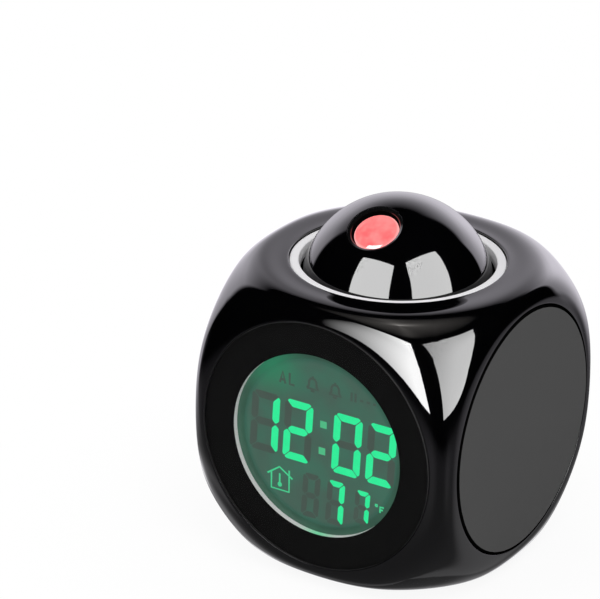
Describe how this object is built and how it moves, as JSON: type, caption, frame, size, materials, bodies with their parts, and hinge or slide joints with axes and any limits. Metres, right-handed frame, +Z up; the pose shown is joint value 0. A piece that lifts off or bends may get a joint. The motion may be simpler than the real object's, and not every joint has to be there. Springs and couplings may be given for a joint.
{
  "type": "projection alarm clock",
  "caption": "Rounded-cube bedside clock with a round lit display, grey side discs and a tilting projector ball on top that presses down for snooze.",
  "frame": {"origin": "middle of the footprint, on the surface that the rubber feet stand on", "axes": "+Z up, -Y out of the round display, +X to the right of someone facing the display"},
  "size_m": [0.08, 0.08, 0.0977],
  "materials": {
    "gloss_black": "high gloss",
    "matt_black": "fine spark texture",
    "clear_cover": "clear acrylic, polished",
    "white_plastic": "satin",
    "display": "lit green display",
    "light_panel": "frosted",
    "grey_disc": "smooth matt",
    "lens_red": "polished, lit red",
    "clear_lens": "polished",
    "lamp_red": "clear red resin",
    "circuit_board": "green solder mask",
    "dark_parts": "moulded",
    "contact_rubber": "soft",
    "grey_plastic": "moulded",
    "ribbon": "film with tinned tracks",
    "rubber": "soft",
    "steel": "bright zinc",
    "magnet": "sintered",
    "nickel": "nickel plated",
    "cell_wrap": "printed film"
  },
  "bodies": {
    "case": {"housing": "gloss_black", "window_border": "matt_black", "rear_panel": "matt_black", "base_plate": "matt_black", "dc_jack": "matt_black", "front_cover": "clear_cover", "display_frame": "white_plastic", "top_ring": "white_plastic", "lcd_glass": "display", "light_panel": "light_panel", "backlight_leds": "light_panel", "side_disc_left": "grey_disc", "side_disc_right": "grey_disc", "display_board": "circuit_board", "control_board": "circuit_board", "main_board": "circuit_board", "key_switches": "dark_parts", "main_chip": "dark_parts", "board_parts": "dark_parts", "snooze_switch": "dark_parts", "speaker_cone": "dark_parts", "lcd_connectors": "contact_rubber", "guide_frame": "grey_plastic", "display_ribbon": "ribbon", "foot_1": "rubber", "foot_2": "rubber", "foot_3": "rubber", "foot_4": "rubber", "display_screws": "steel", "ring_screws": "steel", "rear_panel_screws": "steel", "control_board_screws": "steel", "base_screws": "steel", "stack_screws": "steel", "guide_screws": "steel", "speaker_basket": "steel", "speaker_magnet": "magnet", "battery_contacts": "nickel", "battery_springs": "nickel", "snooze_spring_left": "nickel", "snooze_spring_right": "nickel", "cell_1": "cell_wrap", "cell_2": "cell_wrap", "cell_3": "cell_wrap"},
    "carriage": {"ball_cradle": "grey_plastic"},
    "ball": {"ball_upper_shell": "gloss_black", "ball_lower_shell": "gloss_black", "lens_barrel": "matt_black", "projector_lens": "lens_red", "time_film": "clear_lens", "condenser_lens": "clear_lens", "projector_led": "lamp_red", "led_board": "circuit_board", "pivot_pins": "steel"},
    "door": {"battery_door": "matt_black"},
    "key_1_body": {"key_1": "gloss_black"},
    "key_2_body": {"key_2": "gloss_black"},
    "key_3_body": {"key_3": "gloss_black"},
    "key_4_body": {"key_4": "gloss_black"}
  },
  "joints": [
    {"name": "top_press", "type": "slide", "parent": "case", "child": "carriage", "axis": [0, 0, 1], "range_m": [-0.0012, 0], "stiffness_N_per_m": 500, "springref_m": 0.004, "deforming": ["snooze_spring_left", "snooze_spring_right"]},
    {"name": "projector_tilt", "type": "hinge", "parent": "carriage", "child": "ball", "pos_m": [0, 0, 0.0719], "axis": [1, 0, 0], "range_deg": [-84, 26]},
    {"name": "battery_door_hinge", "type": "hinge", "parent": "case", "child": "door", "pos_m": [0, 0.0162, 0.0025], "axis": [1, 0, 0], "range_deg": [0, 80]},
    {"name": "key_1_press", "type": "slide", "parent": "case", "child": "key_1_body", "axis": [0, -1, 0], "range_m": [0, 0.0006], "stiffness_N_per_m": 300, "springref_m": -0.002},
    {"name": "key_2_press", "type": "slide", "parent": "case", "child": "key_2_body", "axis": [0, -1, 0], "range_m": [0, 0.0006], "stiffness_N_per_m": 300, "springref_m": -0.002},
    {"name": "key_3_press", "type": "slide", "parent": "case", "child": "key_3_body", "axis": [0, -1, 0], "range_m": [0, 0.0006], "stiffness_N_per_m": 300, "springref_m": -0.002},
    {"name": "key_4_press", "type": "slide", "parent": "case", "child": "key_4_body", "axis": [0, -1, 0], "range_m": [0, 0.0006], "stiffness_N_per_m": 300, "springref_m": -0.002}
  ]
}
